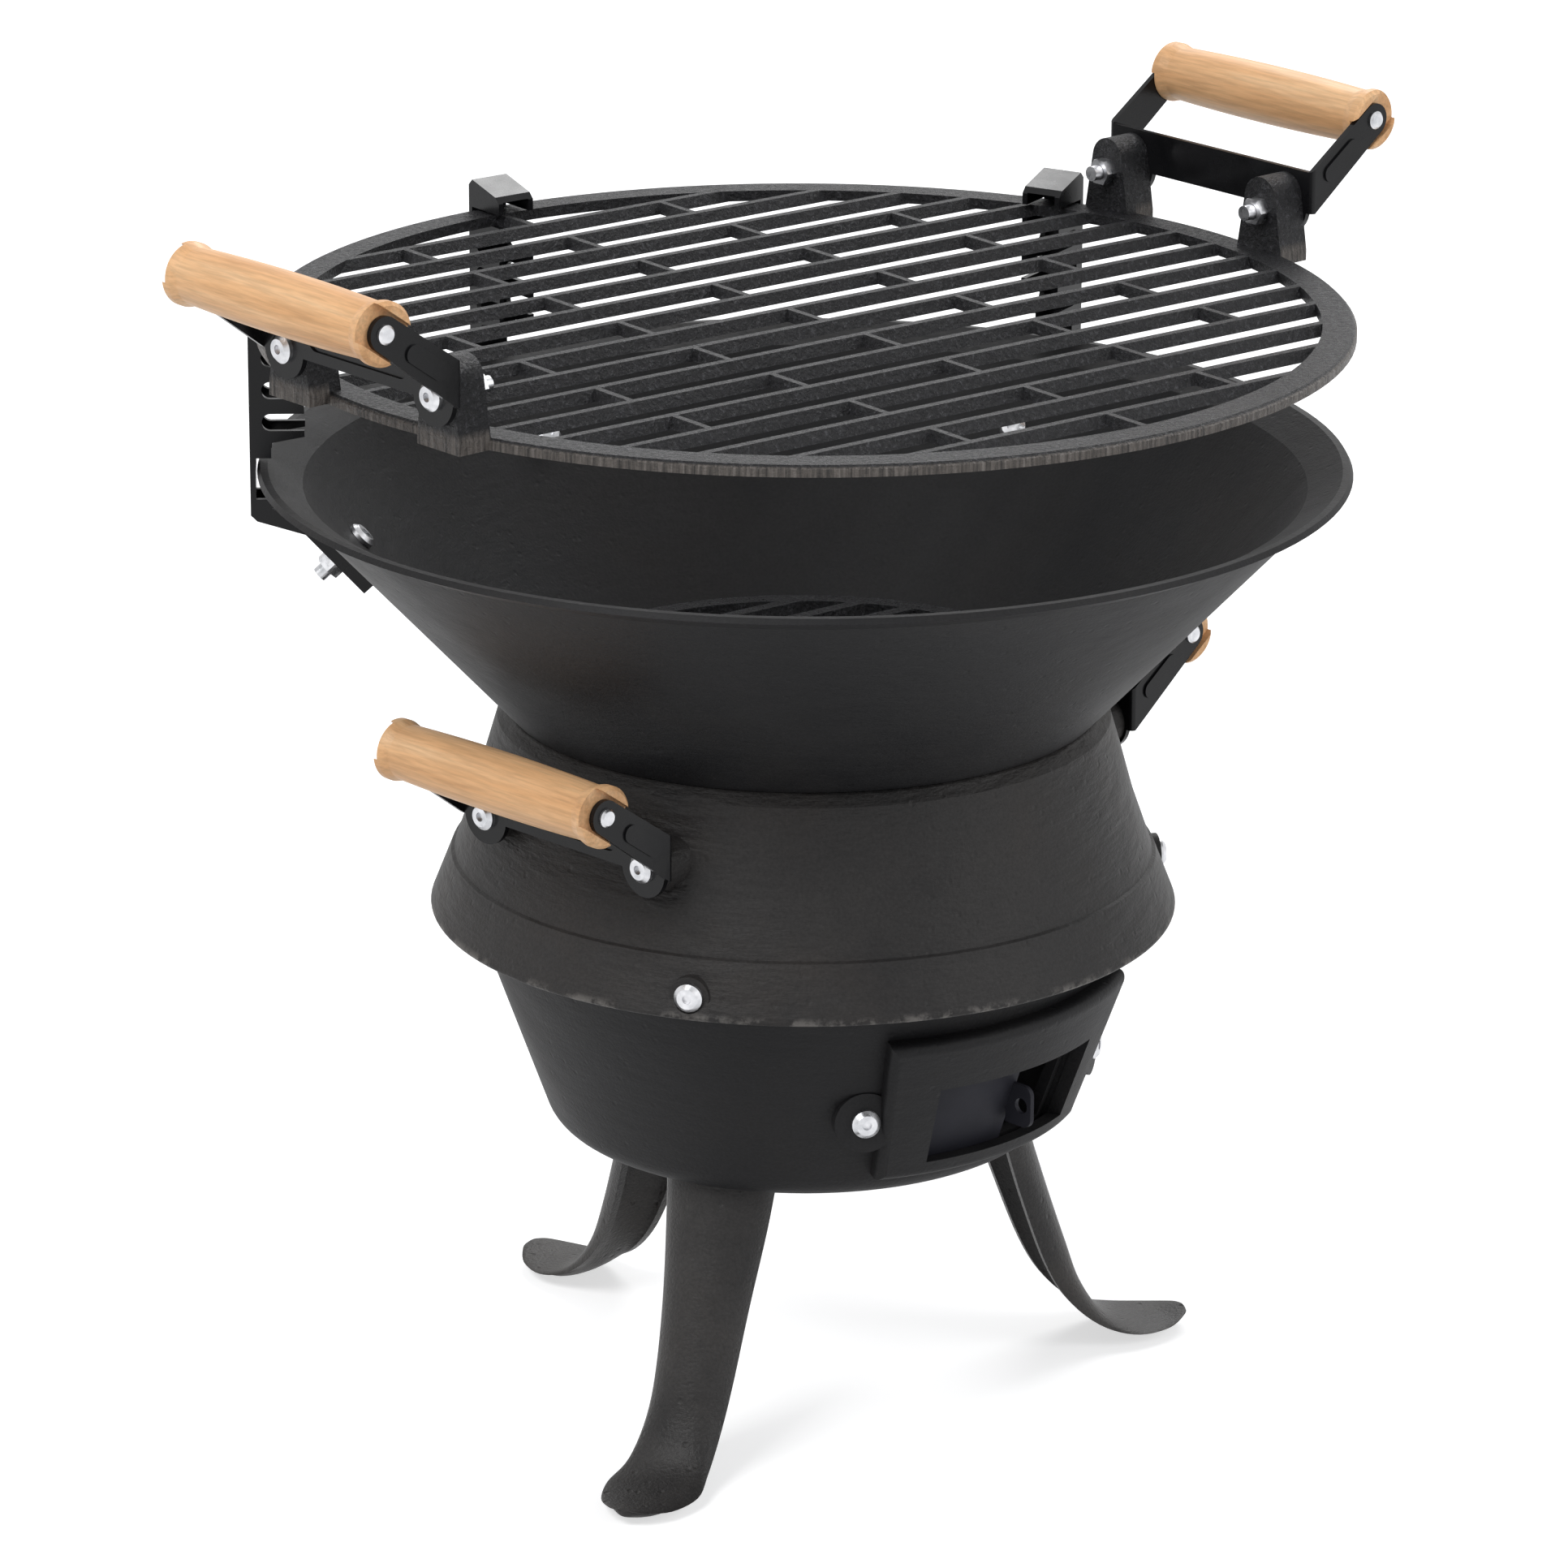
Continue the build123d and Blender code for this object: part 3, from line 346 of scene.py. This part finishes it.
# Grates: coarse sand-cast iron that sparkles
def grate_iron(name):
    material, tree, shader = new_material(name)
    place = object_coordinates(tree)
    clouds = noise(tree, place, 40.0, 4.0, 0.6)
    sand = noise(tree, place, 620.0, 4.0, 0.75)
    # The brightest sand grains get painted glints in the base colour, on top of the real sparkle from
    # varied roughness
    tone = ramp(tree, sand, ((0.36, SAND_DARK), (0.56, SAND_LIGHT), (0.70, SAND_GLINT)))
    gloss = noise(tree, place, 900.0, 2.0, 0.7)
    normal = bump(tree, clouds, 0.3, 0.001)
    normal = bump(tree, sand, 1.0, 0.0016, normal)
    link(tree, tone, shader.inputs["Base Color"])
    link(tree, ramp(tree, gloss, ((0.35, 0.55), (0.65, 0.26))), shader.inputs["Roughness"])
    link(tree, normal, shader.inputs["Normal"])
    shader.inputs["Specular IOR Level"].default_value = 0.28
    return material


def ground_grate_iron():
    """The cooking grate: the same iron, with its outer edge ground bright."""
    material = grate_iron("cooking_grate_iron")
    tree = material.node_tree
    shader = tree.nodes["Principled BSDF"]
    place = object_coordinates(tree)
    sand = shader.inputs["Base Color"].links[0].from_socket
    outside = radius_mask(tree, place, GRATE_R - GROUND_FROM, GRATE_R - GROUND_TO)
    edge = ramp(tree, outside, ((0.2, 0.0), (0.8, 1.0)))
    above_rim = height_mask(tree, place, GRATE_TOP_Z, GRATE_TOP_Z + GROUND_FADE)
    low = ramp(tree, above_rim, ((0.2, 1.0), (0.8, 0.0)))
    edge = mixed(tree, "MULTIPLY", 1.0, edge, low)
    hatch = noise(tree, stretched(tree, place, (900.0, 900.0, 60.0)), 1.0, 4.0, 0.6)
    ground = ramp(tree, hatch, ((0.34, GROUND_DARK), (0.56, GROUND_LIGHT), (0.72, GROUND_BRIGHT)))
    link(tree, mixed(tree, "MIX", edge, sand, ground), shader.inputs["Base Color"])
    return material


def enamel():
    """Black enamel over folded sheet steel."""
    material, tree, shader = new_material("black_enamel")
    place = object_coordinates(tree)
    clouds = noise(tree, place, 60.0, 3.0)
    link(tree, ramp(tree, clouds, ((0.3, ENAMEL_DARK), (0.7, ENAMEL_LIGHT))), shader.inputs["Base Color"])
    link(tree, ramp(tree, clouds, ((0.3, 0.20), (0.7, 0.32))), shader.inputs["Roughness"])
    shader.inputs["Specular IOR Level"].default_value = 0.22
    normal = bump(tree, noise(tree, place, 380.0, 2.0), 0.10, 0.0003)
    link(tree, normal, shader.inputs["Normal"])
    return material


def satin_sheet():
    """The vent plate: a duller, slightly blue black."""
    material, tree, shader = new_material("satin_sheet")
    place = object_coordinates(tree)
    clouds = noise(tree, place, 50.0, 4.0)
    link(tree, ramp(tree, clouds, ((0.3, PLATE_DARK), (0.7, PLATE_LIGHT))), shader.inputs["Base Color"])
    shader.inputs["Roughness"].default_value = 0.58
    shader.inputs["Specular IOR Level"].default_value = 0.15
    normal = bump(tree, noise(tree, place, 700.0, 2.0), 0.2, 0.0002)
    link(tree, normal, shader.inputs["Normal"])
    return material


def zinc():
    """Bright zinc plate on bolts, nuts, screws and rivets."""
    material, tree, shader = new_material("zinc")
    place = object_coordinates(tree)
    clouds = noise(tree, place, 240.0, 3.0)
    link(tree, ramp(tree, clouds, ((0.3, ZINC_DARK), (0.7, ZINC_LIGHT))), shader.inputs["Base Color"])
    link(tree, ramp(tree, clouds, ((0.3, 0.22), (0.7, 0.42))), shader.inputs["Roughness"])
    shader.inputs["Metallic"].default_value = 1.0
    link(tree, bump(tree, clouds, 0.2, 0.0002), shader.inputs["Normal"])
    return material


def beech(name, turn):
    """Turned beech: grain along the grip, short rays, a few small knots."""
    material, tree, shader = new_material(name)
    place = object_coordinates(tree)
    grain = noise(tree, stretched(tree, place, (7.0, 110.0, 110.0), -turn), 1.0, 5.0, 0.62)
    rays = noise(tree, stretched(tree, place, (60.0, 900.0, 900.0), -turn), 1.0, 3.0, 0.6)
    spots = cells(tree, stretched(tree, place, (16.0, 40.0, 40.0), -turn), 1.0)
    tone = ramp(tree, grain, ((0.30, BEECH_DARK), (0.52, BEECH_LIGHT), (0.72, BEECH_PALE)))
    tone = mixed(tree, "MULTIPLY", 0.8, tone, ramp(tree, rays, ((0.36, 0.80), (0.62, 1.06))))
    tone = mixed(tree, "MULTIPLY", 0.7, tone, ramp(tree, spots, ((0.05, 0.42), (0.13, 1.0))))
    link(tree, tone, shader.inputs["Base Color"])
    link(tree, ramp(tree, grain, ((0.3, 0.52), (0.7, 0.40))), shader.inputs["Roughness"])
    shader.inputs["Specular IOR Level"].default_value = 0.35
    link(tree, bump(tree, rays, 0.12, 0.0003), shader.inputs["Normal"])
    return material


# Materials by slot of the record, and the nodes that differ from their slot
MATERIALS = {
    "body_cast_iron": pot_iron(),
    "grate_cast_iron": grate_iron("grate_iron"),
    "black_enamelled_steel": enamel(),
    "zinc_fasteners": zinc(),
    "wood_grip": beech("beech_grate", GRATE_HANDLE_AZIMUTH + ACROSS),
}
barrel_beech = beech("beech_barrel", BARREL_HANDLE_AZIMUTH + ACROSS)
SPECIAL = {
    "upper_barrel": barrel_iron(),
    "cooking_grate": ground_grate_iron(),
    "vent_slider": satin_sheet(),
    "barrel_grip_front": barrel_beech,
    "barrel_grip_rear": barrel_beech,
}


def dress(name, material):
    """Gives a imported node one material."""
    if not NODES[name].material_slots:
        NODES[name].data.materials.append(None)
    for slot in NODES[name].material_slots:
        slot.link = "OBJECT"
        slot.material = material


def soften(name, width):
    """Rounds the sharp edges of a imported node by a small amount."""
    made = NODES[name].modifiers.new("soft_edges", "BEVEL")
    made.width = width
    made.segments = EDGE_SEGMENTS
    made.limit_method = "ANGLE"
    made.angle_limit = math.radians(EDGE_ANGLE)
    made.harden_normals = True


for entry in RECORD["subparts"]:
    node_name = entry["node"]
    dress(node_name, SPECIAL.get(node_name, MATERIALS[entry["material_slot"]]))
for node_name, edge_width in EDGE_WIDTH.items():
    soften(node_name, edge_width)


def placed(name, data):
    """A new object in the scene."""
    made = bpy.data.objects.new(name, data)
    bpy.context.collection.objects.link(made)
    return made


# Legs: the cast leg runs smoothly from a half-round channel into its leaf-shaped foot
def between(before, start, end, after, share):
    """Smooth value between two stations, with their neighbours."""
    first = 2.0 * start
    second = (end - before) * share
    third = (2.0 * before - 5.0 * start + 4.0 * end - after) * share**2
    fourth = (3.0 * start - before - 3.0 * end + after) * share**3
    return 0.5 * (first + second + third + fourth)


def smooth_stations(stations, steps):
    padded = (stations[0], *stations, stations[-1])
    rows = []
    for index in range(len(stations) - 1):
        group = padded[index : index + 4]
        for step in range(steps):
            rows.append(tuple(between(*values, step / steps) for values in zip(*group)))
    rows.append(stations[-1])
    return rows


def leg_ring(station):
    """Closed outline of the channel at one station: outside across, then inside back."""
    face, height, tilt, half, depth, wall = station
    out = Vector((math.cos(math.radians(tilt)), 0.0, math.sin(math.radians(tilt))))
    middle = Vector((face, 0.0, height))
    turns = [math.pi * (step / LEG_RING - 0.5) for step in range(LEG_RING + 1)]
    ring = []
    for turn in turns:
        side = Vector((0.0, half * math.sin(turn), 0.0))
        ring.append(middle + side - out * depth * (1.0 - math.cos(turn)))
    for turn in reversed(turns):
        side = Vector((0.0, (half - wall * LEG_SIDE_WALL) * math.sin(turn), 0.0))
        ring.append(middle + side - out * (wall + (depth - wall) * (1.0 - math.cos(turn))))
    return [Vector((point.x, point.y, min(max(point.z, 0.0), POT_FLOOR_Z))) for point in ring]


def channel_faces(rows, count):
    """Outward faces between rings of count points each, and a cap at both ends."""
    faces = []
    for row in range(rows - 1):
        near = row * count
        far = near + count
        for place in range(count):
            after = (place + 1) % count
            faces.append((near + place, far + place, far + after, near + after))
    last = (rows - 1) * count
    faces.append(tuple(range(count)))
    faces.append(tuple(last + place for place in reversed(range(count))))
    return faces


def pad_points():
    """Corners of the bolt pad, underside first."""
    outline = (
        (PAD_NEAR, -PAD_HALF),
        (PAD_FAR, -PAD_HALF),
        (PAD_FAR, PAD_HALF),
        (PAD_NEAR, PAD_HALF),
    )
    points = []
    for height in (POT_FLOOR_Z - PAD_THICK, POT_FLOOR_Z):
        points += [Vector((x, y, height)) for x, y in outline]
    return points


def leg_piece(name, azimuth, material):
    rings = [leg_ring(station) for station in smooth_stations(LEG_STATIONS, LEG_STEPS)]
    points = [point for ring in rings for point in ring]
    faces = channel_faces(len(rings), len(rings[0]))
    first = len(points)
    box_faces = ((3, 2, 1, 0), (4, 5, 6, 7), (0, 1, 5, 4), (1, 2, 6, 5), (2, 3, 7, 6), (3, 0, 4, 7))
    faces += [tuple(first + corner for corner in face) for face in box_faces]
    points += pad_points()
    turn = Euler((0.0, 0.0, math.radians(azimuth))).to_matrix()
    mesh = bpy.data.meshes.new("leg_" + name)
    mesh.from_pydata([turn @ point for point in points], [], faces)
    mesh.polygons.foreach_set("use_smooth", [True] * len(mesh.polygons))
    mesh.set_sharp_from_angle(angle=math.radians(LEG_SHARP_ANGLE))
    mesh.materials.append(material)
    piece = placed("cast_leg_" + name, mesh)
    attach(piece, "base")
    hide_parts("leg_" + name)


leg_material = leg_iron()
for leg_name, leg_azimuth in LEG_AZIMUTHS.items():
    leg_piece(leg_name, leg_azimuth, leg_material)


def photo_camera():
    data = bpy.data.cameras.new("camera")
    data.lens = CAMERA_LENS
    data.sensor_width = CAMERA_SENSOR
    data.shift_x = CAMERA_SHIFT_X
    data.clip_end = CAMERA_REACH
    camera = placed("camera", data)
    camera.location = (0.0, -CAMERA_BACK, CAMERA_UP)
    tilt = Euler((math.pi / 2 - CAMERA_PITCH, 0.0, 0.0)).to_matrix()
    roll = Euler((0.0, 0.0, CAMERA_ROLL)).to_matrix()
    camera.rotation_euler = (tilt @ roll).to_euler()
    bpy.context.scene.camera = camera


def shown_rays(tree):
    """1 for camera, glossy and transmission rays, otherwise 0."""
    path = tree.nodes.new("ShaderNodeLightPath")
    value = path.outputs["Is Camera Ray"]
    for kind in ("Is Glossy Ray", "Is Transmission Ray"):
        larger = tree.nodes.new("ShaderNodeMath")
        larger.operation = "MAXIMUM"
        link(tree, value, larger.inputs[0])
        link(tree, path.outputs[kind], larger.inputs[1])
        value = larger.outputs[0]
    return value


def pale_floor():
    """Pale, white where it is seen in the light, and it keeps the shadow."""
    mesh = bpy.data.meshes.new("floor")
    half = FLOOR_SIZE / 2
    corners = [(-half, -half, 0), (half, -half, 0), (half, half, 0), (-half, half, 0)]
    mesh.from_pydata(corners, [], [(0, 1, 2, 3)])
    material, tree, shader = new_material("floor_white")
    shader.inputs["Base Color"].default_value = FLOOR_TONE
    shader.inputs["Roughness"].default_value = 0.9
    shader.inputs["Specular IOR Level"].default_value = 0.1
    shader.inputs["Emission Color"].default_value = WHITE
    strength = tree.nodes.new("ShaderNodeMath")
    strength.operation = "MULTIPLY"
    strength.inputs[1].default_value = FLOOR_SHOWN
    link(tree, shown_rays(tree), strength.inputs[0])
    link(tree, strength.outputs[0], shader.inputs["Emission Strength"])
    mesh.materials.append(material)
    floor = placed("floor", mesh)


def lamp(name, location, size, power):
    data = bpy.data.lights.new(name, "AREA")
    data.energy = power
    data.shape = "RECTANGLE"
    data.size, data.size_y = size
    made = placed(name, data)
    made.location = location
    made.rotation_euler = (LAMP_AIM - Vector(location)).to_track_quat("-Z", "Y").to_euler()


def studio_world():
    """Even light from all round, and white where it is seen."""
    world = bpy.data.worlds.new("studio")
    bpy.context.scene.world = world
    world.use_nodes = True
    tree = world.node_tree
    tree.nodes.clear()
    light = tree.nodes.new("ShaderNodeBackground")
    light.inputs["Color"].default_value = SKY_TONE
    light.inputs["Strength"].default_value = SKY_STRENGTH
    shown = tree.nodes.new("ShaderNodeBackground")
    shown.inputs["Color"].default_value = WHITE
    shown.inputs["Strength"].default_value = 1.0
    mix = tree.nodes.new("ShaderNodeMixShader")
    link(tree, shown_rays(tree), mix.inputs["Fac"])
    link(tree, light.outputs[0], mix.inputs[1])
    link(tree, shown.outputs[0], mix.inputs[2])
    output = tree.nodes.new("ShaderNodeOutputWorld")
    link(tree, mix.outputs[0], output.inputs["Surface"])


photo_camera()
pale_floor()
lamp("key", (-1.5, -1.7, 2.7), (1.4, 1.4), 62.0)
lamp("fill", (2.4, -0.9, 1.6), (1.2, 1.8), 24.0)
lamp("rim", (0.6, 2.2, 2.2), (1.8, 1.0), 42.0)
studio_world()
bpy.context.scene.view_settings.view_transform = "Standard"
